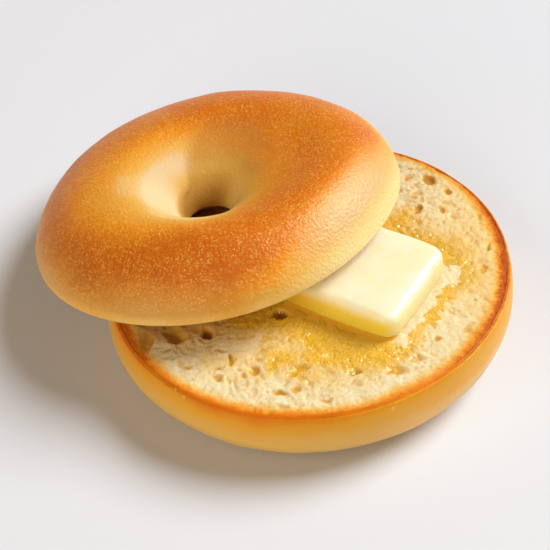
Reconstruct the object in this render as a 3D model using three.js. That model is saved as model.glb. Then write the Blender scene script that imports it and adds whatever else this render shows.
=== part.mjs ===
// A plain bagel, sliced in two, with a pat of butter, in millimetres with +Z up.
//
// The bottom half lies on the table with its cut face up, and the pat lies on that face.
// The domed top half is slid back and to the left, cut face down, and leans on the rim of
// the bottom half and on the pat. The origin is the middle of the whole thing's footprint.

import * as THREE from 'three';
import { mergeVertices } from 'three/addons/utils/BufferGeometryUtils.js';

// Driving dimensions. Places are measured from the middle of the bottom half's base.

const gap = 0.3;                      // clearance between pieces that rest on each other
const turnSteps = 96;                 // steps once round each half

const bottomHalf = {
  radius: 52.5,                       // at its widest
  widestHeight: 10.1,                 // height of the widest ring above the table
  sideRun: 12.6,                      // how far the rounded side reaches in over the base
  shoulderHeight: 16.2,               // the side above the widest ring closes in this slowly
  cutHeight: 17.9,                    // height of the cut face at the middle
  cutSlope: [0.052, -0.014],          // the slice is slanted: rise per mm along X and Y
  holeCentre: [-8, 5],                // the hole is off the middle, as in hand-shaped dough
  holeRadius: 6.5,                    // at the cut face
  flareWidth: 7,                      // the hole opens out by this much at the base
  flareHeight: 10,
  waves: [{ count: 2, cosine: 0.002, sine: 0.022 }],
};

const topHalf = {
  radius: 49.7,                       // of the cut edge
  sideHeight: 0.7,                    // the upright strip of crust above the cut edge
  crestRadius: 29.4,                  // ring of the highest points
  crestHeight: 15,
  crestCentre: [4.5, -2.5],           // the dome is thicker on its far left side
  holeRadius: 6.2,                    // at the cut face
  holeCentre: [-1.1, -6.8],
  sideFullness: 0.47,                 // how upright the dome starts at the cut edge, 0 to 1
  shoulderFullness: 0.5,              // how flat it runs in to the crest
  lipFullness: 0.38,                  // how flat it runs on from the crest to the hole
  throatFullness: 0.46,               // how upright the hole's wall is
  waves: [
    { count: 2, cosine: -0.015, sine: 0.016 },
    { count: 3, cosine: 0.013, sine: 0.001 },
    { count: 4, cosine: 0.003, sine: 0.006 },
    { count: 5, cosine: 0.002, sine: 0 },
  ],
  centre: [-25, 21.3],              // of its cut face, seen from above
  leanAngle: 12.6,                    // degrees
  leanBearing: 140.4,                 // degrees from +X towards +Y, the way it leans down
};

const butterPat = {
  length: 32.5,
  width: 29.6,
  thickness: 7.3,
  cornerRadius: 3,
  edgeRound: 1.4,
  centre: [12.9, -7.2],
  turn: -30.9,                        // degrees about +Z
};

const materials = {
  bottomCrust: new THREE.MeshStandardMaterial({ color: 0xe2b768, roughness: 0.55, metalness: 0 }),
  topCrust: new THREE.MeshStandardMaterial({ color: 0xd98f35, roughness: 0.45, metalness: 0 }),
  butter: new THREE.MeshStandardMaterial({ color: 0xfbefbe, roughness: 0.3, metalness: 0 }),
};

// Shape helpers

const point = (radius, height) => new THREE.Vector2(radius, height);

// The points of several curves in turn, each end shared with the next curve's start.
function joinCurves(pieces) {
  const points = [pieces[0].curve.getPoint(0)];
  for (const { curve, steps } of pieces) {
    points.push(...curve.getPoints(steps).slice(1));
  }
  return points;
}

// The share of a shift felt at a radius: none at the outer ring, all of it at the inner one.
function shiftShare(radius, outer, inner) {
  return THREE.MathUtils.smoothstep(outer - radius, 0, outer - inner);
}

// How much wider or narrower an uneven outline is in one direction.
function waveScale(waves, angle) {
  const wave = ({ count, cosine, sine }) =>
    cosine * Math.cos(count * angle) + sine * Math.sin(count * angle);
  return waves.reduce((scale, each) => scale + wave(each), 1);
}

// Turns a closed profile about Z, then moves each vertex with move(vertex, radius, angle).
function turnedRing(profile, move) {
  const geometry = new THREE.LatheGeometry(profile, turnSteps);
  geometry.rotateX(Math.PI / 2);
  geometry.deleteAttribute('normal');
  geometry.deleteAttribute('uv');
  const positions = geometry.getAttribute('position');
  const vertex = new THREE.Vector3();
  for (let i = 0; i < positions.count; i += 1) {
    vertex.fromBufferAttribute(positions, i);
    move(vertex, Math.hypot(vertex.x, vertex.y), Math.atan2(vertex.y, vertex.x));
    positions.setXYZ(i, vertex.x, vertex.y, vertex.z);
  }
  const ring = mergeVertices(geometry);
  ring.computeVertexNormals();
  return ring;
}

// Pieces

function makeBottomHalf() {
  const half = bottomHalf;
  const sideCentre = half.radius - half.sideRun;
  const cutRise = half.cutHeight - half.widestHeight;
  const cutAngle = Math.asin(cutRise / half.shoulderHeight);
  const flareRadius = half.holeRadius + half.flareWidth;
  const roundedSide = new THREE.EllipseCurve(
    sideCentre, half.widestHeight, half.sideRun, half.widestHeight, -Math.PI / 2, 0);
  const shoulder = new THREE.EllipseCurve(
    sideCentre, half.widestHeight, half.sideRun, half.shoulderHeight, 0, cutAngle);
  const cutRadius = shoulder.getPoint(1).x;
  const base = new THREE.LineCurve(point(flareRadius, 0), point(sideCentre, 0));
  const cutFace = new THREE.LineCurve(
    point(cutRadius, half.cutHeight), point(half.holeRadius, half.cutHeight));
  const holeWall = new THREE.LineCurve(
    point(half.holeRadius, half.cutHeight), point(half.holeRadius, half.flareHeight));
  const flare = new THREE.QuadraticBezierCurve(
    point(half.holeRadius, half.flareHeight), point(half.holeRadius, 0), point(flareRadius, 0));
  const profile = joinCurves([
    { curve: base, steps: 1 },
    { curve: roundedSide, steps: 8 },
    { curve: shoulder, steps: 4 },
    { curve: cutFace, steps: 2 },
    { curve: holeWall, steps: 1 },
    { curve: flare, steps: 4 },
  ]);

  const geometry = turnedRing(profile, (vertex, radius, angle) => {
    const scale = waveScale(half.waves, angle);
    const share = shiftShare(radius, half.radius, half.holeRadius);
    vertex.x = vertex.x * scale + half.holeCentre[0] * share;
    vertex.y = vertex.y * scale + half.holeCentre[1] * share;
    const slant = half.cutSlope[0] * vertex.x + half.cutSlope[1] * vertex.y;
    vertex.z += slant * (vertex.z / half.cutHeight);
  });
  const mesh = new THREE.Mesh(geometry, materials.bottomCrust);
  mesh.name = 'bottom_half';
  return mesh;
}

function makeTopHalf() {
  const half = topHalf;
  const domeRun = half.radius - half.crestRadius;
  const domeRise = half.crestHeight - half.sideHeight;
  const throatRun = half.crestRadius - half.holeRadius;
  const side = new THREE.LineCurve(point(half.radius, 0), point(half.radius, half.sideHeight));
  const dome = new THREE.CubicBezierCurve(
    point(half.radius, half.sideHeight),
    point(half.radius, half.sideHeight + half.sideFullness * domeRise),
    point(half.crestRadius + half.shoulderFullness * domeRun, half.crestHeight),
    point(half.crestRadius, half.crestHeight));
  const throat = new THREE.CubicBezierCurve(
    point(half.crestRadius, half.crestHeight),
    point(half.crestRadius - half.lipFullness * throatRun, half.crestHeight),
    point(half.holeRadius, half.throatFullness * half.crestHeight),
    point(half.holeRadius, 0));
  const cutFace = new THREE.LineCurve(point(half.holeRadius, 0), point(half.radius, 0));
  const profile = joinCurves([
    { curve: side, steps: 1 },
    { curve: dome, steps: 11 },
    { curve: throat, steps: 10 },
    { curve: cutFace, steps: 2 },
  ]);

  // Above the cut face the dome drifts to its crest's centre and on to the hole's centre.
  const geometry = turnedRing(profile, (vertex, radius, angle) => {
    const scale = waveScale(half.waves, angle);
    const crestShare = shiftShare(radius, half.radius, half.crestRadius);
    const holeShare = shiftShare(radius, half.crestRadius, half.holeRadius);
    const drift = (axis) =>
      half.crestCentre[axis] * crestShare
      + (half.holeCentre[axis] - half.crestCentre[axis]) * holeShare;
    vertex.x = vertex.x * scale + drift(0);
    vertex.y = vertex.y * scale + drift(1);
  });
  const mesh = new THREE.Mesh(geometry, materials.topCrust);
  mesh.name = 'top_half';
  return mesh;
}

function makeButterPat() {
  const pat = butterPat;
  const outline = new THREE.Shape();
  const halfLength = pat.length / 2 - pat.edgeRound;
  const halfWidth = pat.width / 2 - pat.edgeRound;
  const bend = pat.cornerRadius - pat.edgeRound;
  const quarter = Math.PI / 2;
  outline.absarc(halfLength - bend, halfWidth - bend, bend, 0, quarter);
  outline.absarc(bend - halfLength, halfWidth - bend, bend, quarter, 2 * quarter);
  outline.absarc(bend - halfLength, bend - halfWidth, bend, 2 * quarter, 3 * quarter);
  outline.absarc(halfLength - bend, bend - halfWidth, bend, 3 * quarter, 4 * quarter);
  outline.closePath();
  const geometry = new THREE.ExtrudeGeometry(outline, {
    depth: pat.thickness - 2 * pat.edgeRound,
    curveSegments: 4,
    bevelSize: pat.edgeRound,
    bevelThickness: pat.edgeRound,
    bevelSegments: 3,
  });
  geometry.translate(0, 0, pat.edgeRound);
  geometry.rotateZ(THREE.MathUtils.degToRad(pat.turn));
  const mesh = new THREE.Mesh(geometry, materials.butter);
  mesh.name = 'butter_pat';
  return mesh;
}

// Placing

// Height of the slanted cut face above the table.
function cutFaceHeight(x, y) {
  return bottomHalf.cutHeight + bottomHalf.cutSlope[0] * x + bottomHalf.cutSlope[1] * y;
}

// The lowest height at which a leaning plane through (x, y) clears all the meshes under it.
function restingHeight(meshes, [x, y], normal, reach) {
  const vertex = new THREE.Vector3();
  let height = -Infinity;
  for (const mesh of meshes) {
    mesh.updateWorldMatrix(true, false);
    const positions = mesh.geometry.getAttribute('position');
    for (let i = 0; i < positions.count; i += 1) {
      vertex.fromBufferAttribute(positions, i).applyMatrix4(mesh.matrixWorld);
      const away = { x: vertex.x - x, y: vertex.y - y };
      if (Math.hypot(away.x, away.y) < reach) {
        height = Math.max(height, vertex.z + (away.x * normal.x + away.y * normal.y) / normal.z);
      }
    }
  }
  return height;
}

const bottom = makeBottomHalf();

const pat = makeButterPat();
const cutNormal = new THREE.Vector3(-bottomHalf.cutSlope[0], -bottomHalf.cutSlope[1], 1).normalize();
const up = new THREE.Vector3(0, 0, 1);
pat.quaternion.setFromUnitVectors(up, cutNormal);
pat.position.set(...butterPat.centre, cutFaceHeight(...butterPat.centre) + gap);

const top = makeTopHalf();
const lean = THREE.MathUtils.degToRad(topHalf.leanAngle);
const bearing = THREE.MathUtils.degToRad(topHalf.leanBearing);
const leanNormal = new THREE.Vector3(
  Math.sin(lean) * Math.cos(bearing), Math.sin(lean) * Math.sin(bearing), Math.cos(lean));
top.quaternion.setFromUnitVectors(up, leanNormal);
const restHeight = restingHeight([bottom, pat], topHalf.centre, leanNormal, topHalf.radius);
top.position.set(...topHalf.centre, restHeight + gap);

// The halves and the pat, moved so that the middle of their footprint is the origin.
const bagel = new THREE.Group();
bagel.add(bottom, pat, top);
const footprint = new THREE.Box3().setFromObject(bagel, true).getCenter(new THREE.Vector3());
bagel.position.set(-footprint.x, -footprint.y, 0);

export default bagel;
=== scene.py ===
import itertools
from math import asin, cos, degrees, pi, radians, sin

import bmesh
import bpy
import numpy as np
from mathutils import Matrix, Vector


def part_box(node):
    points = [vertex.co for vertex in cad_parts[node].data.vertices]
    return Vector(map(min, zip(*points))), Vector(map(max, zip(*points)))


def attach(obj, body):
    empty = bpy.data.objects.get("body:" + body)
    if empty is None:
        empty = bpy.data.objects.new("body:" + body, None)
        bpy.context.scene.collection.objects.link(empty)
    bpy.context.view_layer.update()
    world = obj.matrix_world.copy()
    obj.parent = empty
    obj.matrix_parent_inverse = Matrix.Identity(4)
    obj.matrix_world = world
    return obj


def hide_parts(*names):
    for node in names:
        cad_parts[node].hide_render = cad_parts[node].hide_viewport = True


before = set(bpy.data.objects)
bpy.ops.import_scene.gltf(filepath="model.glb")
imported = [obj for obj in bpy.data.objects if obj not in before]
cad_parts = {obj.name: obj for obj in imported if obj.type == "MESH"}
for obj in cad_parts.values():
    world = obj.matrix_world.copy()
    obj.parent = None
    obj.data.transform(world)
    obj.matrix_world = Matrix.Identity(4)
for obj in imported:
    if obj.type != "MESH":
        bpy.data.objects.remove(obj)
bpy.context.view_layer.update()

scene = bpy.context.scene
print("CAD parts:", ", ".join(sorted(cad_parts)))

studio = {
    "lookAt": (0.001, -0.005, 0.01),
    "distance": 0.34425,
    "elevation": 44.66,  # degrees above the floor
    "lens": 85.1,
    "sensor": 36,
    "nearest": 0.01, "farthest": 50,  # what the camera sees, in metres
    "floorSize": 6.0,
    "floorTone": (0.737, 0.766, 0.822),
    "floorCloud": 0.985,  # its slightly darker clouds
    "skyTone": (0.182, 0.119, 0.066),  # the warm, dim room that fills the shadows
    "wallTone": (0.8, 0.79, 0.79),  # what shows behind the floor
    "whiteLevel": 1.1,  # this much light shows as white
    "brightTones": [(0.6, 0.6), (0.8, 0.815), (0.95, 0.96)],  # and bright tones ease towards it
    "lampsAim": (0, 0, 0.02),
    "softboxes": {  # bearing from +Y towards +X
        "keySoftbox": {"bearing": 64, "elevation": 44, "distance": 4.5, "size": 2.7,
                       "power": 250.0, "tone": (0.94, 0.97, 1.0)},
        "frontSoftbox": {"bearing": 208, "elevation": 22, "distance": 2.0, "size": 1.6,
                         "power": 16.5, "tone": (1.0, 0.86, 0.66)},
        "edgeSoftbox": {"bearing": 238, "elevation": 38, "distance": 2.5, "size": 0.9,
                        "power": 6.0, "tone": (1.0, 0.95, 0.9)},
    },
}


def makeCamera(name, settings):
    camera = bpy.data.objects.new(name, bpy.data.cameras.new(name))
    scene.collection.objects.link(camera)
    camera.data.sensor_width = settings["sensor"]
    camera.data.lens = settings["lens"]
    camera.data.clip_start = settings["nearest"]
    camera.data.clip_end = settings["farthest"]
    rise = radians(settings["elevation"])
    back = Vector((0, -cos(rise), sin(rise)))
    camera.location = Vector(settings["lookAt"]) + back * settings["distance"]
    camera.rotation_euler = (pi / 2 - rise, 0, 0)
    scene.camera = camera


def makeSoftbox(name, settings):
    lamp = bpy.data.objects.new(name, bpy.data.lights.new(name, "AREA"))
    scene.collection.objects.link(lamp)
    lamp.data.shape = "DISK"
    lamp.data.size = settings["size"]
    lamp.data.energy = settings["power"]
    lamp.data.color = settings["tone"]
    rise, turn = radians(settings["elevation"]), radians(settings["bearing"])
    away = Vector((sin(turn) * cos(rise), cos(turn) * cos(rise), sin(rise)))
    lamp.location = Vector(studio["lampsAim"]) + away * settings["distance"]
    lamp.rotation_euler = away.to_track_quat("Z", "Y").to_euler()


makeCamera("camera", studio)
for name, settings in studio["softboxes"].items():
    makeSoftbox(name, settings)

view = scene.view_settings
view.view_transform = "Standard"
view.use_curve_mapping = True
view.curve_mapping.white_level = [studio["whiteLevel"]] * 3
for light, shown in studio["brightTones"]:
    view.curve_mapping.curves[3].points.new(light / studio["whiteLevel"], shown)
view.curve_mapping.update()
print("camera and light ready")


class Wire:
    # one socket of a node tree; sums on wires add the Math nodes

    def __init__(self, tree, socket=None):
        self.tree = tree
        self.socket = socket

    def add(self, kind, settings=None, values=None, output=0):
        node = self.tree.nodes.new("ShaderNode" + kind)
        for key, value in (settings or {}).items():
            if key == "stops":
                stops = node.color_ramp.elements
                while len(stops) < len(value):
                    stops.new(1)
                for stop, (place, colour) in zip(stops, value):
                    stop.position = place
                    stop.color = (*colour, 1)
            else:
                setattr(node, key, value)
        for key, value in (values or {}).items():
            if isinstance(value, Wire):
                self.tree.links.new(value.socket, node.inputs[key])
            else:
                node.inputs[key].default_value = value
        return Wire(self.tree, node.outputs[output])

    def math(self, operation, *values):
        return self.add("Math", {"operation": operation}, dict(enumerate(values)))

    def __add__(self, other): return self.math("ADD", self, other)
    def __radd__(self, other): return self.math("ADD", other, self)
    def __sub__(self, other): return self.math("SUBTRACT", self, other)
    def __rsub__(self, other): return self.math("SUBTRACT", other, self)
    def __mul__(self, other): return self.math("MULTIPLY", self, other)
    def __rmul__(self, other): return self.math("MULTIPLY", other, self)

    def fade(self, start, end):
        # 0 at start, 1 at end, eased; start may be the larger one
        return self.add("MapRange", {"interpolation_type": "SMOOTHSTEP"},
                        {"Value": self, "From Min": start, "From Max": end})

    def clamp(self):
        return self.add("Clamp", None, {0: self})

    def ramp(self, stops):
        return self.add("ValToRGB", {"stops": stops}, {"Fac": self})


def mixTone(under, over, share):
    wire = next(w for w in (share, under, over) if isinstance(w, Wire))
    values = {0: share}
    for key, colour in ((6, under), (7, over)):
        values[key] = colour if isinstance(colour, Wire) else (*colour, 1)
    return wire.add("Mix", {"data_type": "RGBA"}, values, output=2)


def painted(colour, tones, layers):
    # tones laid one over another, each with its share
    for name, share in layers:
        colour = mixTone(colour, tones[name], share)
    return colour


def fromScreen(tones):
    # tones are written as they show on screen, 0 to 255; shaders take linear ones
    def linear(level):
        return level / 12.92 if level <= 0.04045 else ((level + 0.055) / 1.055) ** 2.4

    return {name: tuple(linear(level / 255) for level in colour) for name, colour in tones.items()}


def newMaterial(name, place, constants):
    # with a first wire, its shader, and Object coordinates turned as the piece lies
    material = bpy.data.materials.new(name)
    material.use_nodes = True
    wire = Wire(material.node_tree)
    shader = material.node_tree.nodes["Principled BSDF"]
    for key, value in {"Subsurface Scale": 1.0, **constants}.items():
        shader.inputs[key].default_value = value
    coords = wire.add("TexCoord", output="Object")
    coords = wire.add("Mapping", {"vector_type": "TEXTURE"}, {
        "Vector": coords, "Location": place.translation, "Rotation": place.to_euler()})
    return material, wire, shader, coords


def plug(shader, wires):
    for socket, wire in wires.items():
        wire.tree.links.new(wire.socket, shader.inputs[socket])


def mark(wire, name):
    # a piece's own attribute
    return wire.add("Attribute", {"attribute_name": name}, output="Fac")


def axis(coords, name):
    return coords.add("SeparateXYZ", None, {"Vector": coords}, output=name)


def bumpOf(height):
    # height in metres
    return height.add("Bump", None, {"Height": height, "Distance": 1.0, "Strength": 1.0})


def noiseAt(coords, scale, detail=2.0, roughness=0.5):
    return coords.add("TexNoise", None, {
        "Vector": coords, "Scale": scale, "Detail": detail, "Roughness": roughness}, output="Fac")


def spotsAt(coords, scale, size, share, seed=0.0):
    # round spots in some cells of a seeded pattern
    shift = (seed, seed * 0.7, seed * 0.3)
    moved = coords.add("Mapping", None, {"Vector": coords, "Location": shift})
    cells = {"Vector": moved, "Scale": scale}
    near, pick = (moved.add("TexVoronoi", None, cells, output=out) for out in ("Distance", "Color"))
    chosen = pick.math("LESS_THAN", pick, share)
    return near.fade(size, size * 0.35) * chosen


scene.world = bpy.data.worlds.new("studioRoom")
scene.world.use_nodes = True
room = scene.world.node_tree.nodes["Background"]
seen = Wire(scene.world.node_tree).add("LightPath", output="Is Camera Ray")
plug(room, {"Color": mixTone(studio["skyTone"], studio["wallTone"], seen)})


def tilted(place, normal):
    # stands at a place, its Z turned to a normal
    turn = Vector((0, 0, 1)).rotation_difference(normal)
    return Matrix.Translation(place) @ turn.to_matrix().to_4x4()


def lumps(points, size, seed):
    # seeded smooth noise from -1 to 1, with lumps about this size
    cells = np.asarray(points) / size
    low = np.floor(cells).astype(int)
    share = cells - low
    share = share * share * (3 - 2 * share)
    low -= low.min(0)
    table = np.random.default_rng(seed).uniform(-1, 1, low.max(0) + 2)
    total = np.zeros(len(cells))
    for corner in itertools.product((0, 1), repeat=cells.shape[1]):
        weight = np.prod(np.where(corner, share, 1 - share), axis=1)
        total += weight * table[tuple((low + corner).T)]
    return total


def layered(points, layers, seed=0):
    # lumps of several sizes together; a layer is its height, size and seed
    return sum(height * lumps(points, size, seed + key) for height, size, key in layers)


def layeredOver(x, y, layers, seed=0):
    return layered(np.column_stack((x.ravel(), y.ravel())), layers, seed).reshape(x.shape)


def ease(values, start, end):
    share = np.clip((values - start) / (end - start), 0, 1)
    return share * share * (3 - 2 * share)


def waveScale(waves, angle):
    # how much wider or narrower an uneven outline is in one direction
    return 1 + sum(c * np.cos(n * angle) + s * np.sin(n * angle) for n, c, s in waves)


def arc(centre, radii, start, end, steps):
    return [(centre[0] + radii[0] * cos(a), centre[1] + radii[1] * sin(a))
            for a in np.linspace(radians(start), radians(end), steps + 1)]


def bezier(a, b, c, d, steps):
    t = np.linspace(0, 1, steps + 1)[:, None]
    a, b, c, d = map(np.array, (a, b, c, d))
    curve = (1 - t)**3 * a + 3*(1 - t)**2 * t * b + 3*(1 - t) * t**2 * c + t**3 * d
    return [tuple(point) for point in curve]


def marked(points, start, end, skin):
    # profile points with an even mark along them, and how far they are outer skin
    points = np.array(points)
    reach = np.concatenate(([0], np.cumsum(np.hypot(*np.diff(points, axis=0).T))))
    marks = start + (end - start) * reach / reach[-1]
    return [(r, z, share, skin) for (r, z), share in zip(points, marks)]


def spinRing(strips, steps, split=8):
    # a closed profile turned once round Z in wide steps, each then split
    bm = bmesh.new()
    along = bm.verts.layers.float.new("along")
    skin = bm.verts.layers.float.new("skin")
    reach = bm.verts.layers.float.new("reach")
    ring = []
    for radius, height, share, outer in itertools.chain(*strips):
        if ring and (ring[-1].co - Vector((radius, 0, height))).length < 1e-6:
            continue
        ring.append(bm.verts.new((radius, 0, height)))
        ring[-1][along], ring[-1][skin], ring[-1][reach] = share, outer, radius
    edges = [bm.edges.new(pair) for pair in zip(ring, ring[1:] + ring[:1])]
    bmesh.ops.spin(bm, geom=ring + edges, cent=(0, 0, 0), axis=(0, 0, 1),
                   angle=2 * pi, steps=steps // split, use_merge=True)

    def level(a, b):
        return a[reach] == b[reach] and a[along] == b[along] and abs(a.co.z - b.co.z) < 1e-9

    around = [edge for edge in bm.edges if level(*edge.verts)]
    bmesh.ops.subdivide_edges(bm, edges=around, cuts=split - 1, use_grid_fill=True)
    for vert in bm.verts:  # the cuts lie on straight chords: out to the circle
        vert.co.x, vert.co.y = vert.co.xy.normalized() * vert[reach]
    return bm


def verticesOf(items):
    return [item for item in items if isinstance(item, bmesh.types.BMVert)]


def toEdge(points, half, outer, holeRadius):
    # metres in from the outline or from the hole, whichever is nearer
    x, y = points[:, :2].T
    dx, dy = (points[:, :2] - half["holeCentre"]).T
    rim = outer * waveScale(half["waves"], np.arctan2(y, x)) - np.hypot(x, y)
    hole = np.hypot(dx, dy) - holeRadius * waveScale(half["waves"], np.arctan2(dy, dx))
    return np.minimum(rim, hole)


def gridWithin(cells, reach, middle, isOutside):
    # a flat square grid without the faces whose middles lie outside
    bm = bmesh.new()
    bmesh.ops.create_grid(bm, x_segments=cells, y_segments=cells, size=reach)
    bmesh.ops.translate(bm, vec=(*middle, 0), verts=bm.verts)
    outside = isOutside(np.array([face.calc_center_median() for face in bm.faces]))
    extra = [face for face, out in zip(bm.faces, outside) if out]
    bmesh.ops.delete(bm, geom=extra, context="FACES")
    return bm


def toObject(bm, name):
    bmesh.ops.recalc_face_normals(bm, faces=bm.faces)
    for face in bm.faces:
        face.smooth = True
    mesh = bpy.data.meshes.new(name)
    bm.to_mesh(mesh)
    bm.free()
    piece = bpy.data.objects.new(name, mesh)
    scene.collection.objects.link(piece)
    return piece


def getVectors(items, name):
    vectors = np.empty(len(items) * 3)
    items.foreach_get(name, vectors)
    return vectors.reshape(-1, 3)


def getPoints(piece):
    return getVectors(piece.data.vertices, "co")


def getNormals(piece):
    return getVectors(piece.data.vertex_normals, "vector")


def setPoints(piece, points):
    piece.data.vertices.foreach_set("co", np.ascontiguousarray(points).ravel())
    piece.data.update()


def getMarks(piece, name):
    marks = np.empty(len(piece.data.vertices))
    piece.data.attributes[name].data.foreach_get("value", marks)
    return marks


def setMarks(piece, **marks):
    for name, values in marks.items():
        layer = piece.data.attributes.new(name, "FLOAT", "POINT")
        layer.data.foreach_set("value", np.asarray(values, np.float32))


def finishPiece(piece, material, node, place):
    piece.data.transform(place)
    piece.data.materials.append(material)
    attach(piece, "root")
    if node:
        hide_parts(node)
    triangles = sum(len(face.vertices) - 2 for face in piece.data.polygons)
    print(f"{piece.name}: {triangles} triangles")


# the lower half lies on the table, its cut face slanting up; lengths in metres
bottomHalf = {
    "radius": 0.0525, "widestHeight": 0.0101, "sideRun": 0.0126, "shoulderHeight": 0.0162,
    "cutHeight": 0.0179, "cutSlope": (0.052, -0.014),
    "holeCentre": (-0.008, 0.005), "holeRadius": 0.0065,
    "flareWidth": 0.007, "flareHeight": 0.01,
    "waves": [(2, 0.002, 0.022)],
    "steps": 600,
    "crust": 0.001,  # thickness of the crust at the cut face
    "edgeRound": 0.0007,
    "holeRound": 0.0005,
    "crumbDepth": 0.0036,  # of the crumb piece in the crust
    "crumbGrid": 0.0003,
    "crumbGap": 0.0004, "holeLap": 0.0005,  # against the crust's rim and hole
    "crumbSink": 0.0004,  # its border lies lower
    # height, size and seed of the lumps all over, and of more on the lip
    "dents": [(0.00022, 0.014, 3), (0.0001, 0.006, 4),
              (0.00003, 0.0022, 5), (0.000016, 0.0011, 6)],
    "lipDents": [(0.00016, 0.0016, 7), (0.00012, 0.0008, 8)],
    "tones": {
        "burnt": (172, 62, 4), "toast": (226, 120, 2), "amber": (232, 164, 38),
        # the last tone on the next line is painted shade, for the low side near the table
        "gold": (228, 184, 94), "pale": (218, 180, 108), "lowShade": (168, 114, 46),
        "speck": (252, 212, 130), "honey": (245, 176, 62), "foot": (250, 214, 150),
    },
}

boxLow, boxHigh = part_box("bottom_half")
bottomPlace = Vector(((boxLow.x + boxHigh.x) / 2, (boxLow.y + boxHigh.y) / 2, 0))
bottomLay = Matrix.Translation(bottomPlace)
cutNormal = Vector((-bottomHalf["cutSlope"][0], -bottomHalf["cutSlope"][1], 1)).normalized()


def cutHeightAt(x, y):
    # height of the slanted cut face above the table
    slope = bottomHalf["cutSlope"]
    return bottomHalf["cutHeight"] + slope[0] * x + slope[1] * y


def cutRim():
    # how far out the side meets the cut, and the side's angle there in degrees
    half = bottomHalf
    angle = asin((half["cutHeight"] - half["widestHeight"]) / half["shoulderHeight"])
    return half["radius"] - half["sideRun"] * (1 - cos(angle)), degrees(angle)


def bottomMove(points):
    # the turned ring to the hand-shaped, slanted half
    half = bottomHalf
    x, y, z = points.T
    scale = waveScale(half["waves"], np.arctan2(y, x))
    share = ease(half["radius"] - np.hypot(x, y), 0, half["radius"] - half["holeRadius"])
    x = x * scale + half["holeCentre"][0] * share
    y = y * scale + half["holeCentre"][1] * share
    slant = half["cutSlope"][0] * x + half["cutSlope"][1] * y
    return np.column_stack((x, y, z * (1 + slant / half["cutHeight"])))


def makeBottomCrust():
    half = bottomHalf
    inner = half["radius"] - half["sideRun"]
    cut, wall, bend = half["cutHeight"], half["crust"], half["edgeRound"]
    rim, cutAngle = cutRim()
    side = arc((inner, half["widestHeight"]), (half["sideRun"], half["widestHeight"]), -90, 0, 40)
    shoulder = arc((inner, half["widestHeight"]), (half["sideRun"], half["shoulderHeight"]),
                   0, cutAngle * 0.93, 18)
    edge = arc((rim - bend, cut - bend), (bend, bend), 12, 90, 6)
    floor, turn = cut - half["crumbDepth"], half["holeRound"]
    hole, flare = half["holeRadius"], half["holeRadius"] + half["flareWidth"]
    strips = [
        marked([(flare + (inner - flare) * s, 0) for s in np.linspace(0, 1, 20)], 2.0, 1.0, 1),
        marked(side + shoulder, 1.0, 0.03, 1),
        marked(edge, 0.03, -0.03, 1),
        marked([edge[-1], (rim - wall * 0.85, cut - 0.00012), (rim - wall, cut - 0.0006)],
               -0.03, -0.06, 1),
        marked([(rim - wall - 0.0001, cut - 0.0015), (rim - wall - 0.0001, floor),
                (hole + wall, floor), (hole + wall, cut - 0.0015)], -0.1, -0.1, 0),
        marked([(hole + wall, cut - 0.0006), (hole + wall * 0.9, cut - 0.0001),
                (hole + turn, cut)], -0.08, -0.03, 1),
        marked(arc((hole + turn, cut - turn), (turn, turn), 90, 180, 3), -0.03, 3.0, 1),
        marked([(hole, z) for z in np.linspace(cut - 0.0006, half["flareHeight"], 14)],
               3.0, 2.6, 1),
        marked(bezier((hole, half["flareHeight"]), (hole, half["flareHeight"] / 3),
                      (hole + half["flareWidth"] / 3, 0), (flare, 0), 22), 2.6, 2.0, 1),
    ]
    piece = toObject(spinRing(strips, half["steps"]), "bottom_crust")
    points, skin = bottomMove(getPoints(piece)), getMarks(piece, "skin")
    setPoints(piece, points)
    grip = ease(points[:, 2], 0.0002, 0.003) * skin  # the base stays flat on the table
    lip = ease(getMarks(piece, "along"), 0.03, -0.05)
    dents = layered(points, half["dents"]) + lip * skin * layered(points, half["lipDents"])
    setPoints(piece, points + getNormals(piece) * (dents * grip)[:, None])
    return piece


def bottomCrustMaterial():
    material, wire, shader, coords = newMaterial("toastedBottomCrust", bottomLay, {
        "Specular IOR Level": 0.3, "Specular Tint": (1.0, 0.8, 0.44, 1),
        "Subsurface Weight": 0.1, "Subsurface Radius": (0.0022, 0.0011, 0.0005)})
    tones = fromScreen(bottomHalf["tones"])
    along = mark(wire, "along")
    patches, clouds = noiseAt(coords, 45) - 0.5, noiseAt(coords, 160, 3, 0.55) - 0.5
    fine = noiseAt(coords, 1200, 2, 0.6)
    x = axis(coords, "X")
    sides = x.fade(0.022, 0.05) + x.fade(-0.036, -0.05)
    shifted = along + patches * 0.2 + clouds * 0.08 + x.fade(0.0, 0.045) * 0.07
    colour = shifted.ramp([(0.0, tones["toast"]), (0.11, tones["amber"]),
                           (0.3, tones["gold"]), (0.72, tones["pale"])])
    right = x.fade(0.008, 0.034)
    honey = right * along.fade(0.95, 0.5) * along.fade(0.05, 0.24)
    # painted shade low on the side near the table, less on the lit right
    lowShade = along.fade(0.64, 1.02) * (1 - right * 0.85) * (clouds + 0.75)
    uneven = along + patches * 0.16 + clouds * 0.08
    foot = right * uneven.fade(0.2, 0.34) * along.fade(1.0, 0.6)
    rim = (along + (fine - 0.5) * 0.1 + clouds * 0.06).fade(0.045, -0.01)
    burnt = (0.1 + sides * 0.75 + patches * 1.2).clamp()
    specks = spotsAt(coords, 420, 0.3, 0.26) * noiseAt(coords, 80).fade(0.42, 0.62)
    colour = painted(colour, tones, [
        ("honey", honey * (0.75 + patches * 0.8)), ("lowShade", lowShade),
        ("foot", foot * (0.6 + patches * 0.4)), ("burnt", rim * burnt),
        ("speck", specks * 0.45)])
    skin = specks * 0.00006 + fine * 0.00005 + noiseAt(coords, 420) * 0.00007
    plug(shader, {"Base Color": colour, "Roughness": 0.46 + clouds * 0.14,
                  "Normal": bumpOf(skin)})
    return material


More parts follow.
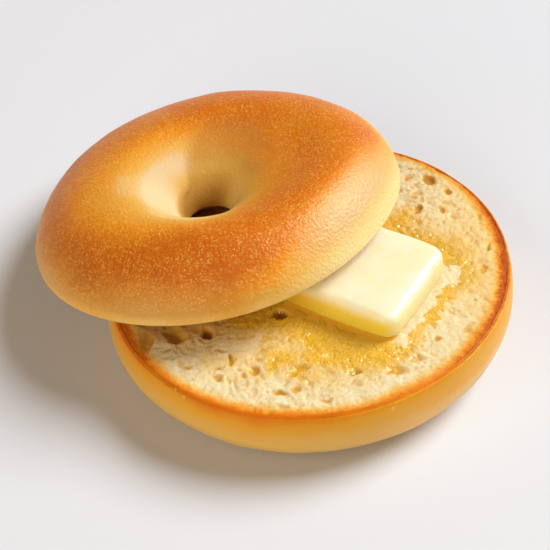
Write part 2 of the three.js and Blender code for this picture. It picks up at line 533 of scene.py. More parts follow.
# the upper half leans on the butter; lengths in metres, angles in degrees
topHalf = {
    "radius": 0.0497, "sideHeight": 0.0007, "crestRadius": 0.0294, "crestHeight": 0.015,
    "crestCentre": (0.0045, -0.0025), "holeRadius": 0.0062, "holeCentre": (-0.0011, -0.0068),
    "sideFullness": 0.47, "shoulderFullness": 0.5, "lipFullness": 0.38, "throatFullness": 0.46,
    "waves": [(2, -0.015, 0.016), (3, 0.013, 0.001), (4, 0.003, 0.006), (5, 0.002, 0)],
    "centre": (-0.025, 0.0213, 0.01963),
    "leanAngle": 12.6, "leanBearing": 140.4,
    "steps": 570,
    "crust": 0.0014,
    "edgeRound": 0.0005,
    "crumbDepth": 0.0032,
    "crumbGrid": 0.00038,
    "crumbLap": 0.0006,  # the crumb runs this far under the crust
    "crumbSink": 0.0009,
    "dents": [(0.00025, 0.016, 13), (0.00012, 0.007, 14),
              (0.00003, 0.0026, 15), (0.00002, 0.0013, 16)],
    "foldDepth": 0.001,  # of the soft corner in the throat
    "tones": {
        "cream": (228, 204, 156), "straw": (238, 202, 118), "gold": (234, 178, 74),
        "amber": (234, 148, 18), "brown": (214, 110, 4), "umber": (188, 84, 2),
        # from shade on, these tones are painted light and shade, not the crust's own colour: two
        # shades, light thrown up from the butter, a highlight and a half shade
        "speck": (255, 208, 100), "shade": (150, 98, 0), "dullShade": (170, 118, 58),
        "bouncedLight": (250, 230, 166), "highlightTone": (220, 184, 142), "halfShade": (216, 168, 74),
    },
}

lean, leanTurn = radians(topHalf["leanAngle"]), radians(topHalf["leanBearing"])
leanNormal = Vector((sin(lean) * cos(leanTurn), sin(lean) * sin(leanTurn), cos(lean)))
topPlace = tilted(bottomPlace + Vector(topHalf["centre"]), leanNormal)


def topMove(points):
    # the turned ring to the uneven half, its crest and its hole off the middle
    half = topHalf
    x, y, z = points.T
    radius, scale = np.hypot(x, y), waveScale(half["waves"], np.arctan2(y, x))
    crestShare = ease(half["radius"] - radius, 0, half["radius"] - half["crestRadius"])
    holeShare = ease(half["crestRadius"] - radius, 0, half["crestRadius"] - half["holeRadius"])
    crest, hole = np.array(half["crestCentre"]), np.array(half["holeCentre"])
    drift = crestShare[:, None] * crest + holeShare[:, None] * (hole - crest)
    return np.column_stack((points[:, :2] * scale[:, None] + drift, z))


def makeTopCrust():
    half = topHalf
    radius, side = half["radius"], half["sideHeight"]
    crest, high = half["crestRadius"], half["crestHeight"]
    hole, wall, bend = half["holeRadius"], half["crust"], half["edgeRound"]
    domeRun, domeRise, throatRun = radius - crest, high - side, crest - hole
    dome = bezier((radius, side), (radius, side + half["sideFullness"] * domeRise),
                  (crest + half["shoulderFullness"] * domeRun, high), (crest, high), 68)
    throat = bezier((crest, high), (crest - half["lipFullness"] * throatRun, high),
                    (hole, half["throatFullness"] * high), (hole, bend), 72)
    inside = half["crumbDepth"]
    strips = [
        marked(arc((radius - bend, bend), (bend, bend), -90, 0, 4), -0.04, 0, 1),
        marked(dome, 0, 1, 1),
        marked(throat, 1, 2, 1),
        marked(arc((hole + bend, bend), (bend, bend), 180, 270, 4), 2, 2.04, 1),
        marked([(hole + wall * 0.75, 0.00005), (hole + wall, 0.0005)], 2.05, 2.08, 1),
        marked([(hole + wall, 0.0015), (hole + wall, inside), (radius - wall, inside),
                (radius - wall, 0.0015)], 2.1, -0.1, 0),
        marked([(radius - wall, 0.0005), (radius - wall * 0.75, 0.00005)], -0.08, -0.05, 1),
    ]
    piece = toObject(spinRing(strips, half["steps"]), "top_crust")
    points = topMove(getPoints(piece))
    skin, along = getMarks(piece, "skin"), getMarks(piece, "along")
    setPoints(piece, points)
    # the throat turns a soft corner at its far left, which shifts round on the way down
    dx, dy = (points[:, :2] - half["holeCentre"]).T
    corner = 106 + 40 * (along - 1.4) + 50 * ease(along, 1.72, 1.97)
    turn = np.degrees(np.arctan2(dy, dx)) % 360
    offCorner = turn - corner
    fold = np.exp((4 - np.hypot(offCorner, 4)) / 14)
    fold *= ease(along, 1.25, 1.55) * ease(along, 1.9, 1.78) * half["foldDepth"]
    # painted shade on the throat wall right of that corner, fading out across the lit wall and
    # towards the right wall
    nook = ease(offCorner, 60 + 60 * ease(along, 1.76, 1.9), -15)
    setMarks(piece, lit=ease(offCorner, -14, 6) * ease(offCorner, 150, 90),
             nook=nook * ease(turn, 15, 80) * (0.9 + 0.1 * ease(turn, 90, 125)))
    grip = skin * ease(points[:, 2], -0.0005, 0.002)
    dents = layered(points, half["dents"]) * grip - fold
    setPoints(piece, points + getNormals(piece) * dents[:, None])
    return piece


def topCrustMaterial():
    material, wire, shader, coords = newMaterial("toastedTopCrust", topPlace, {
        "Specular IOR Level": 0.46, "Specular Tint": (1.0, 0.96, 0.8, 1),
        "Subsurface Weight": 0.1, "Subsurface Radius": (0.0022, 0.0011, 0.0005)})
    tones = fromScreen(topHalf["tones"])
    along, lit, nook = mark(wire, "along"), mark(wire, "lit"), mark(wire, "nook")
    across = axis(coords, "X") - topHalf["holeCentre"][0]
    ahead = axis(coords, "Y") - topHalf["holeCentre"][1]
    patches, clouds = noiseAt(coords, 38) - 0.5, noiseAt(coords, 120, 3, 0.55) - 0.5
    fine = noiseAt(coords, 1300, 2, 0.6)
    wavy = patches * 0.22 + clouds * 0.1
    edge = along + wavy - across * 1.1 - ahead * 1.3
    throat = along + wavy + lit * along.fade(1.2, 1.5) * 0.16
    throat -= across.math("MINIMUM", across, 0.016) * 15 + ahead * 4.8
    nearLip = ahead.fade(-0.01, -0.018) * across.fade(0.012, -0.002)
    throat += nearLip * (along.fade(1.0, 1.16) * 0.1 + along.fade(1.14, 1.26) * 0.45)
    right = across - ahead * 0.56 + wavy * 0.02
    baked = edge.fade(-0.14, 0.51) * throat.fade(1.81, 0.93) * right.fade(0.055, 0.036)
    baked = baked * 0.92 + patches * 0.32 + clouds * 0.24 + (fine - 0.5) * 0.22
    baked = baked.clamp()
    pale = mixTone(tones["straw"], tones["cream"], lit * along.fade(1.0, 1.3))
    colour = baked.ramp([(0.34, tones["gold"]), (0.68, tones["amber"]), (1.0, tones["brown"])])
    colour = mixTone(colour, pale, baked.fade(0.34, 0.0))
    # painted highlight: a paler, greyer tone on the right shoulder, where the light's reflection
    # lies
    highlightZone = right.fade(0.039, 0.051) * along.fade(0.12, 0.4) * along.fade(1.05, 0.7)
    toFront = ahead + across * 0.6
    # darker umber on the front left: partly a deeper bake, partly painted shade on the side turned
    # from the light
    front = (toFront + patches * 0.02).fade(-0.012, -0.036) * baked.fade(0.6, 1.0)
    # painted shade low on the front of the top half, a duller tone there
    lowFrontShade = toFront.fade(-0.022, -0.04) * along.fade(0.02, 0.1) * along.fade(0.46, 0.24)
    grains = spotsAt(coords, 1320, 0.38, 0.85)
    specks = (grains + spotsAt(coords, 2100, 0.4, 0.6, 3.1) * 0.8).clamp()
    specks *= noiseAt(coords, 150).fade(0.22, 0.55) * baked.fade(0.1, 0.5)
    mottle = noiseAt(coords, 640, 4, 0.7).fade(0.5, 0.72) * baked.fade(0.2, 0.6)
    # painted shade on the upper far wall of the throat, less where the light reaches
    dullShade = along.fade(1.05, 1.38) * along.fade(1.72, 1.6) * (1 - lit * 0.6)
    dullShade *= ahead.fade(0.0, 0.01) * across.fade(0.024, 0.01)
    # painted highlight: a cream line on the crest left of the hole
    ridgeHighlight = ahead.fade(0.007, 0.002) * ahead.fade(-0.008, -0.003) * across.fade(-0.012, -0.016)
    ridgeHighlight *= along.fade(0.98, 1.08) * along.fade(1.36, 1.2)
    colour = painted(colour, tones, [
        # painted light: cream along the lower right edge, as light thrown up from the butter
        ("bouncedLight", along.fade(0.3, 0.0) * right.fade(0.042, 0.052) * 0.8), ("highlightTone", highlightZone * 0.75),
        ("umber", front * along.fade(0.12, 0.52) * 0.66), ("dullShade", lowFrontShade * 0.3),
        ("speck", (specks * 0.52 + mottle * 0.26).clamp()),
        ("dullShade", dullShade * 0.42), ("cream", ridgeHighlight * 0.32),
        # painted shade deep in the throat by that corner, a half shade first and then full shade
        ("halfShade", (nook * 1.4).clamp() * along.fade(1.5, 1.72) * 0.95),
        ("shade", nook * nook * along.fade(1.6, 1.94) * 0.92)])
    inThroat = along.fade(1.15, 1.5)
    pebbles = coords.add("TexVoronoi", {"feature": "SMOOTH_F1"},
                         {"Vector": coords, "Scale": 1200.0, "Smoothness": 0.4}, output="Distance")
    skin = grains * 0.00004 - pebbles * 0.00015 + fine * 0.00008 + noiseAt(coords, 520, 3) * 0.00005
    plug(shader, {"Base Color": colour,
                  "Roughness": 0.43 + inThroat * 0.36 + clouds * 0.12,
                  "Normal": bumpOf(skin * (1.0 - inThroat * 0.6))})
    return material


# the pat of butter on the cut face
butterPat = {
    "length": 0.0325, "width": 0.0296, "thickness": 0.0073,
    "cornerRadius": 0.0034, "edgeRound": 0.0018,
    "centre": (0.0129, -0.0072), "turn": -30.9, "gap": 0.0003,
    "cuts": 56,
    "footSpread": 0.0008, "swell": 0.0002,  # the warm pat sinks a little
    "sagX": 0.001, "sagY": 0.0002,
    "waver": 0.00012, "waverSize": 0.008, "waverSeeds": (61, 62, 63),
    "tones": {
        "fresh": (255, 237, 201), "pale": (255, 241, 216),
        "gold": (255, 222, 78), "deep": (255, 206, 64),
    },
}

patX, patY = butterPat["centre"]
patBase = Vector((patX, patY, cutHeightAt(patX, patY) + butterPat["gap"]))
patTurn = radians(butterPat["turn"])
patPlace = tilted(bottomPlace + patBase, cutNormal) @ Matrix.Rotation(patTurn, 4, "Z")


def roundPair(a, b):
    # square corner to round corner, for distances past the inner box
    longest, length = np.maximum(a, b), np.hypot(a, b)
    scale = np.where(length > 1e-9, longest / np.maximum(length, 1e-9), 1)
    return a * scale, b * scale


def makeButterPat():
    pat = butterPat
    bm = bmesh.new()
    bmesh.ops.create_cube(bm, size=1)
    bmesh.ops.subdivide_edges(bm, edges=bm.edges[:], cuts=pat["cuts"], use_grid_fill=True)
    bmesh.ops.scale(bm, vec=(pat["length"], pat["width"], pat["thickness"]), verts=bm.verts)
    piece = toObject(bm, "butter_slab")
    points = getPoints(piece)
    half = np.array((pat["length"], pat["width"], pat["thickness"])) / 2
    sign, size = np.sign(points), np.abs(points)
    corner, bend = pat["cornerRadius"], pat["edgeRound"]
    over = np.maximum(size[:, :2] - (half[:2] - corner), 0)
    overX, overY = roundPair(over[:, 0], over[:, 1])
    inset = corner - np.maximum(over[:, 0], over[:, 1])  # from the side wall
    # the long edges, top and bottom
    past = np.maximum(bend - inset, 0)
    above = np.maximum(size[:, 2] - (half[2] - bend), 0)
    pastNew, aboveNew = roundPair(past, above)
    flat = np.hypot(overX, overY)
    shrink = np.where(flat > 1e-9, (flat - (past - pastNew)) / np.maximum(flat, 1e-9), 1)
    for key, turned in enumerate((overX, overY)):
        rounded = half[key] - corner + turned * shrink
        size[:, key] = np.where(over[:, key] > 0, rounded, size[:, key])
    size[:, 2] += aboveNew - above
    points = sign * size
    points[:, 2] += half[2]
    level = points[:, 2] / pat["thickness"]
    # its foot spreads, its sides swell and its top sags
    acrossX, acrossY = points[:, 0] / half[0], points[:, 1] / half[1]
    foot = pat["footSpread"] * np.clip(1 - level, 0, 1) ** 1.5 + pat["swell"] * np.sin(pi * level)
    points[:, 0] += foot * acrossX * (1.5 - acrossY ** 2)
    points[:, 1] += foot * acrossY * (1.7 - 1.2 * acrossX ** 2)
    points[:, 2] -= level * (pat["sagX"] * acrossX ** 4 + pat["sagY"] * acrossY ** 4)
    waver = [lumps(points, pat["waverSize"], seed) for seed in pat["waverSeeds"]]
    points += pat["waver"] * level[:, None] * np.column_stack(waver)
    setPoints(piece, points)
    setMarks(piece, level=level)
    return piece


def butterMaterial():
    material, wire, shader, coords = newMaterial("coldButter", patPlace, {
        "Specular IOR Level": 0.5, "Coat Roughness": 0.3,
        "Subsurface Weight": 1.0, "Subsurface Radius": (0.0062, 0.0044, 0.0014)})
    tones = fromScreen(butterPat["tones"])
    level = mark(wire, "level")
    clouds, fine = noiseAt(coords, 130), noiseAt(coords, 800)
    colour = mixTone(tones["fresh"], tones["pale"], clouds.fade(0.4, 0.65))
    x = axis(coords, "X")
    melting = (level + (clouds - 0.5) * 0.12).fade(0.98, 0.56) * (1 - x.fade(0.014, 0.0158) * 0.6)
    front = mixTone(tones["deep"], tones["gold"], x.fade(-0.015, 0.008))
    colour = mixTone(colour, front, melting)
    colour = mixTone(colour, tones["deep"], level.fade(0.35, 0.0) * 0.6)
    plug(shader, {"Base Color": colour,
                  "Roughness": 0.42 - melting * 0.16 + (fine - 0.5) * 0.08,
                  "Coat Weight": 0.5 + melting * 0.1,
                  "Normal": bumpOf(clouds * 0.00008 + fine * 0.00001)})
    return material


# what has melted off the pat: a thin film round it, and a soft strip pressed out on its right
meltedButter = {
    "grid": 0.00034, "reach": 0.036, "thickness": 0.0008,
    "rim": 0.0485, "holeGap": 0.002,  # it keeps off the rim and the hole
    "thinnest": 0.1, "underPat": 0.003,  # least wetness, and how far it runs under the pat
    "dryLevel": -0.00112, "soakRise": 0.00096,  # its height against the cut, from dry to soaked
    "footRise": 0.0004, "nearRise": 0.00016,  # more at the pat's foot, and close round it
    "underSmear": 0.0008,  # less under the soft strip
    "sunk": 0.003,  # out of sight below the crumb
    "smearHeight": 0.00016, "smearFill": 0.25,  # the strip on the crumb, part filling its pores
    "soakFrom": 0.0215, "soakTo": 0.002,  # metres from the pat where it is dry and soaked
    # bearing from +X, spread and amount: it ran far to the front left, little to the right
    "runs": [(-150, 30, 0.4), (-113, 16, 0.45), (-40, 50, -0.85)], "evenRun": 1.15,
    # height, size and seed of the lumps that tear its outline, the strip's edge and its face
    "outline": [(0.0045, 0.0085, 41), (0.0022, 0.0032, 42), (0.0008, 0.0012, 43)],
    "tear": [(0.0012, 0.0026, 52), (0.001, 0.0012, 53), (0.0006, 0.0006, 55)],
    "ripples": [(0.00005, 0.0016, 51), (0.00004, 0.0008, 54)],
    "stripWidth": 0.002, "stripSpread": 9,  # the strip widens towards both its ends
    "streakPlace": 0.0044, "streakSpread": 3,  # and a streak runs beside it
    "tones": {"thin": (243, 211, 120), "thick": (238, 189, 20)},
}


def fromPat(x, y):
    # metres from the pat's middle along its length and its width
    dx, dy = x - patX, y - patY
    return dx * cos(patTurn) + dy * sin(patTurn), dy * cos(patTurn) - dx * sin(patTurn)


def patDistance(x, y):
    # metres outwards from the foot of the butter, on the cut face
    u, v = fromPat(x, y)
    corner = butterPat["cornerRadius"]
    u = np.abs(u) - butterPat["length"] / 2 + corner
    v = np.abs(v) - butterPat["width"] / 2 + corner
    return np.hypot(np.maximum(u, 0), np.maximum(v, 0)) + np.minimum(np.maximum(u, v), 0) - corner


def besidePat(x, y):
    # metres out from the pat's right side and along it, and a ragged edge's lumps
    u, run = fromPat(x, y)
    return u - butterPat["length"] / 2, run, layeredOver(x, y, meltedButter["tear"])


def wetness(x, y):
    # 1 where melted butter has soaked in round the pat, 0 where the crumb is dry
    melted = meltedButter
    ragged = layeredOver(x, y, melted["outline"])
    bearing = np.degrees(np.arctan2(y - patY, x - patX))
    reach = sum((amount * np.exp(-((bearing - towards) / spread) ** 2)
                 for towards, spread, amount in melted["runs"]), melted["evenRun"])
    away = patDistance(x, y)
    away = away / reach + ragged * (0.35 + 0.65 * ease(away, 0.004, 0.016))
    soaked = ease(away, melted["soakFrom"], melted["soakTo"])
    out, run, torn = besidePat(x, y)
    middle = melted["streakPlace"] + melted["streakSpread"] * run ** 2 + torn * 1.3
    streak = ease(np.abs(out - middle), 0.0022, 0.0008) * ease(np.abs(run + 0.002), 0.0155, 0.0125)
    return np.maximum(soaked, streak * (0.62 + 80 * ragged).clip(0, 0.9))


def smear(x, y):
    # 1 on the ragged strip of soft butter pressed out on the pat's right
    out, run, torn = besidePat(x, y)
    edge = meltedButter["stripWidth"] + meltedButter["stripSpread"] * run ** 2 + torn
    ends = ease(run + torn, -0.016, -0.0138) * ease(run + torn, 0.017, 0.0145)
    return ease(out, edge + 0.0008, edge - 0.0004) * ease(out + torn, -0.003, -0.001) * ends


def filmLevel(x, y, wet):
    # height of the melted butter against the cut face
    melted, away = meltedButter, np.maximum(patDistance(x, y), 0)
    level = melted["dryLevel"] + melted["soakRise"] * wet ** 1.2
    level += melted["footRise"] * np.exp(-away / 0.0007)
    level += melted["nearRise"] * ease(away, 0.006, 0.002)
    level -= melted["underSmear"] * smear(x, y) * ease(away, 0.0003, 0.0008)
    # it drains into the deep pores and ends where the crumb is nearly dry
    drained = ease(sample(bottomField, "pore", x, y), 1.1, 1.6) + ease(wet, 0.55, 0.3)
    return level - melted["sunk"] * drained + layeredOver(x, y, melted["ripples"])


def makeMeltedButter():
    melted, depth = meltedButter, meltedButter["thickness"]
    holeRadius = bottomHalf["holeRadius"] + melted["holeGap"]

    def isDry(points):
        x, y = points[:, :2].T
        return ((wetness(x, y) < melted["thinnest"])
                | (toEdge(points, bottomHalf, melted["rim"], holeRadius) < 0)
                | (patDistance(x, y) < -melted["underPat"]))

    cells = int(2 * melted["reach"] / melted["grid"])
    bm = gridWithin(cells, melted["reach"], butterPat["centre"], isDry)
    # stray cells that touch only at a corner would leave open seams
    for _ in range(3):
        loose = [f for f in bm.faces if sum(len(e.link_faces) == 2 for e in f.edges) < 2]
        bmesh.ops.delete(bm, geom=loose, context="FACES")
    grown = bmesh.ops.extrude_face_region(bm, geom=bm.faces[:], use_keep_orig=True)["geom"]
    for vert in verticesOf(grown):
        vert.co.z = -depth
    piece = toObject(bm, "melted_butter")
    points = getPoints(piece)
    x, y = points[:, :2].T
    under = points[:, 2] < -depth / 2
    wet = wetness(x, y)
    points[:, 2] = cutHeightAt(x, y) + filmLevel(x, y, wet) - np.where(under, depth, 0)
    setPoints(piece, points)
    setMarks(piece, wet=wet)
    return piece


def meltedMaterial():
    material, wire, shader, coords = newMaterial("meltedButter", patPlace, {
        "Specular IOR Level": 0.5, "Coat Roughness": 0.15,
        "Subsurface Weight": 0.1, "Subsurface Radius": (0.0012, 0.0011, 0.0009)})
    tones = fromScreen(meltedButter["tones"])
    wet = mark(wire, "wet")
    clouds, fine = noiseAt(coords, 260), noiseAt(coords, 1100)
    thick = (wet * 1.1 - 0.3 + (clouds - 0.5) * 0.9).clamp()
    plug(shader, {"Base Color": mixTone(tones["thin"], tones["thick"], thick),
                  "Roughness": 0.34 + fine * 0.16, "Coat Weight": 0.1 + clouds * 0.3,
                  "Normal": bumpOf(clouds * 0.00004 + fine * 0.00006)})
    return material


# the crumb of both cut faces
crumb = {
    "spacing": 0.0002,
    "bottomReach": 0.054, "bottomSeed": 11, "topReach": 0.051, "topSeed": 27,
    # how many scattered pores, and their smallest and largest radius
    "scattered": [(3400, 0.00026, 0.00044), (900, 0.00044, 0.0007), (130, 0.0007, 0.0011)],
    # height, size and seed of the lumps that bend the pores' outlines, and of the torn face
    "wander": ([(0.0006, 0.0023, 1), (0.00045, 0.001, 2)],
               [(0.0006, 0.0023, 3), (0.00045, 0.001, 4)]),
    "torn": [(0.00012, 0.0042, 5), (0.00015, 0.0019, 6),
             (0.00013, 0.001, 7), (0.00012, 0.0006, 8)],
    "crown": 0.00006,  # knife-flat above this height
    # x, y, radius, depth, stretch, turn of the pores that stand out
    "pores": [
        (-0.0258, -0.0225, 0.0016, 0.003, 1.25, 50), (-0.008, -0.0172, 0.0023, 0.0022, 1.15, 20),
        (-0.0335, -0.0235, 0.0026, 0.0018, 1.3, -40), (-0.0405, -0.025, 0.0016, 0.0011, 2.2, 95),
        (-0.02, -0.0315, 0.0006, 0.0012, 4.4, 105), (-0.0225, -0.0285, 0.0005, 0.0008, 3.0, 0),
        (-0.0145, -0.0355, 0.0013, 0.0012, 1.2, 90), (-0.003, -0.0355, 0.0014, 0.0011, 1.4, 0),
        (-0.008, -0.043, 0.0008, 0.0011, 2.8, -15), (-0.004, -0.042, 0.0009, 0.0008, 1.4, 20),
        (-0.023, -0.034, 0.0007, 0.0008, 1.5, 0), (-0.03, -0.0335, 0.001, 0.0008, 1.2, 0),
        (-0.023, -0.0375, 0.0008, 0.0007, 1.8, 10), (-0.017, -0.037, 0.0009, 0.0008, 1.2, 90),
        (0.0095, -0.037, 0.0012, 0.0013, 1.1, 0), (0.004, -0.0315, 0.0012, 0.0012, 1.2, 90),
        (0.019, -0.037, 0.0016, 0.0008, 1.8, 5), (0.0255, -0.0335, 0.001, 0.0008, 1.1, 0),
        (0.0025, -0.0455, 0.0006, 0.0007, 3.0, -5), (0.0305, -0.0275, 0.0007, 0.0009, 1.7, 95),
        (0.033, 0.033, 0.0015, 0.0015, 1.8, 110), (0.0375, 0.027, 0.0012, 0.0013, 1.2, 90),
        (0.029, 0.0205, 0.0012, 0.0013, 1.4, 80), (0.0355, 0.0195, 0.0009, 0.001, 1.4, 110),
        (0.0275, 0.034, 0.0011, 0.0009, 1.4, 90), (0.045, 0.0165, 0.0009, 0.0009, 1.5, 100),
        (0.046, 0.0045, 0.0006, 0.0012, 3.2, 75), (0.044, -0.0035, 0.0011, 0.001, 1.5, 90),
    ],
    # pore, deep and brown are painted shade: in the pores, under the top half and below its hole
    "tones": {
        "light": (239, 231, 196), "body": (229, 213, 168), "pore": (216, 166, 66),
        "deep": (146, 90, 22), "wet": (236, 188, 30), "toast": (232, 136, 6),
        "burnt": (176, 66, 4), "brown": (150, 74, 30), "smear": (248, 227, 188),
        "gold": (238, 194, 92),
    },
}


def crumbField(reach, seed, pores):
    # relief of a cut face on an even grid: height against the cut, and how deep in a pore
    line = np.arange(-reach, reach + crumb["spacing"], crumb["spacing"])
    y, x = np.meshgrid(line, line, indexing="ij")
    wanderX, wanderY = (layeredOver(x, y, layers, seed) for layers in crumb["wander"])
    pore, deep = np.zeros_like(x), np.zeros_like(x)
    rng = np.random.default_rng(seed)
    holes = list(pores)
    for number, small, large in crumb["scattered"]:
        for _ in range(number):
            angle, out = rng.uniform(0, 2 * pi), reach * rng.uniform(0, 1) ** 0.5
            size = small * (large / small) ** (rng.uniform() ** 1.6)
            holes.append((out * cos(angle), out * sin(angle), size,
                          size * rng.uniform(0.35, 0.8), rng.uniform(1, 2.0), rng.uniform(0, 180)))
    for cx, cy, radius, depth, stretch, turn in holes:
        span = radius * stretch * 1.4 + 0.0011
        window = (slice(*np.searchsorted(line, (cy - span, cy + span))),
                  slice(*np.searchsorted(line, (cx - span, cx + span))))
        dx = x[window] - cx + wanderX[window]
        dy = y[window] - cy + wanderY[window]
        c, s = cos(radians(turn)), sin(radians(turn))
        out = np.hypot((dx * c + dy * s) / (radius * stretch), (dy * c - dx * s) / radius)
        bowl = np.clip(1.25 - 1.25 * (out / 1.2) ** 2, 0, 1) ** 1.5
        deep[window] = np.maximum(deep[window], bowl * depth)
        pore[window] = np.maximum(pore[window], bowl * depth / 0.001)  # 1 at a millimetre
    torn, crown = layeredOver(x, y, crumb["torn"], seed), crumb["crown"]
    rise = np.minimum(torn, crown + 0.35 * (torn - crown)) - 0.7 * deep
    return {"line": line, "rise": rise, "pore": pore}


def sample(field, name, x, y):
    # bilinear reading of a field at any points
    line, grid = field["line"], field[name]
    spacing = line[1] - line[0]
    column = np.clip((x - line[0]) / spacing, 0, len(line) - 1.001)
    row = np.clip((y - line[0]) / spacing, 0, len(line) - 1.001)
    c, r = column.astype(int), row.astype(int)
    cs, rs = column - c, row - r
    return ((grid[r, c] * (1 - cs) + grid[r, c + 1] * cs) * (1 - rs)
            + (grid[r + 1, c] * (1 - cs) + grid[r + 1, c + 1] * cs) * rs)


bottomField = crumbField(crumb["bottomReach"], crumb["bottomSeed"], crumb["pores"])


def crumbDisc(half, outer, holeRadius):
    # a fine grid cut to the half's outline and hole, its border drawn to them, closed below
    step, (hx, hy) = half["crumbGrid"], half["holeCentre"]
    cells = int(2.1 * outer / step)
    bm = gridWithin(cells, cells * step / 2, (0, 0),
                    lambda points: toEdge(points, half, outer, holeRadius) < 0)

    def share(x, y, radius):  # of the way out to an uneven ring
        return np.hypot(x, y) / (radius * waveScale(half["waves"], np.arctan2(y, x)))

    border = [edge for edge in bm.edges if edge.is_boundary]
    for vert in {vert for edge in border for vert in edge.verts}:
        x, y = vert.co.xy
        outward, inward = share(x, y, outer), share(x - hx, y - hy, holeRadius)
        if outward > 0.8:
            vert.co.x, vert.co.y = x / outward, y / outward
        else:
            vert.co.x, vert.co.y = hx + (x - hx) / inward, hy + (y - hy) / inward
    below = bmesh.ops.extrude_edge_only(bm, edges=border)["geom"]
    for vert in verticesOf(below):
        vert.co.z -= half["crumbDepth"] - 0.0001
    loops = [item for item in below if isinstance(item, bmesh.types.BMEdge)]
    bmesh.ops.bridge_loops(bm, edges=loops)
    return bm


def layCrumb(name, half, outer, holeLap, field):
    # a crumb's flat disc, with the relief to raise its face by and the way in from its edge
    hole = half["holeRadius"] + half["crust"] - holeLap
    piece = toObject(crumbDisc(half, outer, hole), name)
    points = getPoints(piece)
    rise = sample(field, "rise", *points[:, :2].T)
    return piece, points, points[:, 2] > -0.0001, rise, toEdge(points, half, outer, hole)


def makeBottomCrumb():
    half = bottomHalf
    piece, points, top, rise, inward = layCrumb(
        "bottom_crumb", half, cutRim()[0] - half["crumbGap"], half["holeLap"], bottomField)
    x, y = points[:, :2].T
    sink = half["crumbSink"] * (1 - ease(inward, 0.0, 0.0004))
    calm = 0.55 + 0.45 * ease(inward, 0.0005, 0.0035)
    wet, smeared = wetness(x, y), smear(x, y)
    rise += smeared * (meltedButter["smearHeight"] - meltedButter["smearFill"] * rise)
    points[:, 2] += cutHeightAt(x, y) + np.where(top, rise * calm - sink, 0)
    setPoints(piece, points)
    above = topPlace @ Vector((*topHalf["holeCentre"], 0)) - bottomPlace
    setMarks(piece, pore=sample(bottomField, "pore", x, y),
             inward=inward * 1000,  # millimetres
             wet=wet * (1 - 0.9 * smeared), smear=smeared,
             # painted shade on the crumb seen down through the top half's hole
             brown=ease(np.hypot(x - above.x, y - above.y), 0.013, 0.008))
    return piece


def makeTopCrumb():
    half, under = topHalf, crumbField(crumb["topReach"], crumb["topSeed"], [])
    outer = half["radius"] - half["crust"] + half["crumbLap"]
    piece, points, top, rise, inward = layCrumb(
        "top_crumb", half, outer, half["crumbLap"], under)
    sink = half["crumbSink"] * (1 - ease(inward, 0.0002, 0.0009))
    points[:, 2] += np.where(top, rise - sink, 0)
    points[:, 2] *= -1  # the cut face looks down
    setPoints(piece, points)
    piece.data.flip_normals()
    dry = np.zeros(len(points))
    setMarks(piece, pore=sample(under, "pore", *points[:, :2].T), inward=inward * 1000,
             wet=dry, smear=dry, brown=dry)
    return piece


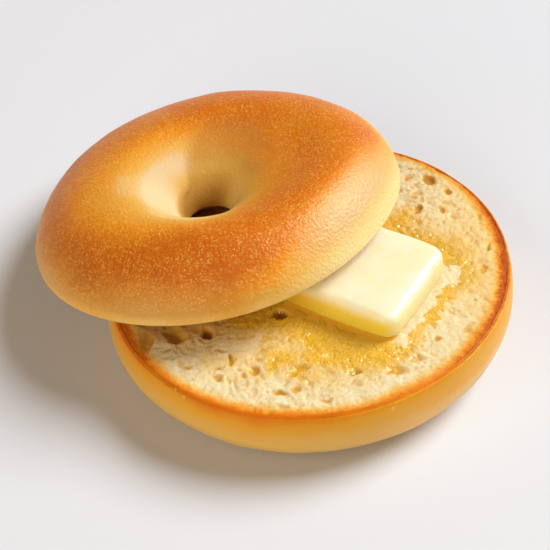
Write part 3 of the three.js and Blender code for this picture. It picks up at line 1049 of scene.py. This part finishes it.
def crumbMaterial(name, place, toast):
    material, wire, shader, coords = newMaterial(name, place, {
        "Specular IOR Level": 0.3, "Coat Roughness": 0.12,
        "Subsurface Weight": 0.5, "Subsurface Radius": (0.0014, 0.0012, 0.001)})
    tones = fromScreen(crumb["tones"])
    pore, inward, wet, smeared = (mark(wire, name) for name in ("pore", "inward", "wet", "smear"))
    patches, clouds = noiseAt(coords, 55) - 0.5, noiseAt(coords, 330, 3, 0.6)
    fine = noiseAt(coords, 1700, 2, 0.6)
    cloudy, sandy = clouds - 0.5, fine - 0.5
    colour = mixTone(tones["body"], tones["light"], (clouds + sandy * 0.5).fade(0.38, 0.64))
    # pores too small for the mesh, as darker spots: painted shade
    dots = spotsAt(coords, 560, 0.36, 0.4) * (clouds * 1.4).clamp()
    blotches = (cloudy * 1.5 + patches * 0.8) * (1.2 - wet)
    soak = (wet * 1.5 + blotches - 0.2).clamp()
    x, y = axis(coords, "X"), axis(coords, "Y")
    sides = x.fade(0.022, 0.05) * y.fade(0.036, 0.012) + x.fade(-0.036, -0.05) * 0.6
    right = x.fade(0.012, 0.034) * 0.15 + x.fade(0.03, 0.044) * y.fade(-0.03, -0.012) * 0.3
    # painted shadow on the crumb where the top half lies nearly on it
    underTopShade = y.fade(-0.0265, -0.0225) * toast  # where the top half lies nearly on it
    near = inward - sides * 0.7 + y.fade(0.012, 0.036) * 0.9 + y.fade(-0.028, -0.042) * 0.2
    near += cloudy * 2.0 + sandy * 1.4 + patches * 2.0
    crisp = near + sandy * 2.6
    burnt = crisp.fade(0.8 + sides * 0.8, 0.0) * toast * (0.15 + sides * 0.65)
    flakes = (0.8 + sandy * 1.4 + cloudy * 1.6).clamp()
    colour = painted(colour, tones, [
        # painted shade in the pores, darker the deeper they are
        ("pore", (pore * 1.25 + cloudy * 0.3).clamp()), ("pore", dots * 0.4),
        ("wet", soak * 0.92), ("gold", right * toast),
        # painted shadow where the top half lies nearly on the crumb
        ("pore", underTopShade * x.fade(-0.016, -0.026) * 0.75),
        ("deep", underTopShade * x.fade(-0.028, -0.036) * 0.4), ("deep", pore.fade(1.0, 2.2) * 0.9),
        ("gold", near.fade(4.6, 1.6) * toast), ("toast", near.fade(2.9, 0.6) * toast),
        # the last of these is painted shade below the top half's hole
        ("burnt", burnt), ("smear", smeared * flakes), ("brown", mark(wire, "brown"))])
    grainy = fine * (0.00008 + soak * 0.00034 + smeared * 0.0002)
    plug(shader, {"Base Color": colour, "Roughness": 0.72 - soak * 0.5,
                  "Coat Weight": soak * 0.85,
                  "Normal": bumpOf(clouds * 0.00012 + grainy - dots * 0.00008)})
    return material


def floorMaterial():
    material, _, shader, coords = newMaterial("paleFloor", Matrix(), {
        "Roughness": 0.55, "Specular IOR Level": 0.3})
    tone = studio["floorTone"]
    cloudTone = [level * studio["floorCloud"] for level in tone]
    plug(shader, {"Base Color": mixTone(tone, cloudTone, noiseAt(coords, 9))})
    return material


toastedCrumb = crumbMaterial("toastedCrumb", bottomLay, 1.0)
softCrumb = crumbMaterial("softCrumb", topPlace, 0.5)
finishPiece(makeBottomCrust(), bottomCrustMaterial(), "bottom_half", bottomLay)
finishPiece(makeBottomCrumb(), toastedCrumb, None, bottomLay)
finishPiece(makeTopCrust(), topCrustMaterial(), "top_half", topPlace)
finishPiece(makeTopCrumb(), softCrumb, None, topPlace)
finishPiece(makeButterPat(), butterMaterial(), "butter_pat", patPlace)
finishPiece(makeMeltedButter(), meltedMaterial(), None, bottomLay)

bm = bmesh.new()
bmesh.ops.create_grid(bm, x_segments=8, y_segments=8, size=studio["floorSize"] / 2)
floor = toObject(bm, "floor")
floor.data.materials.append(floorMaterial())
print("floor ready")
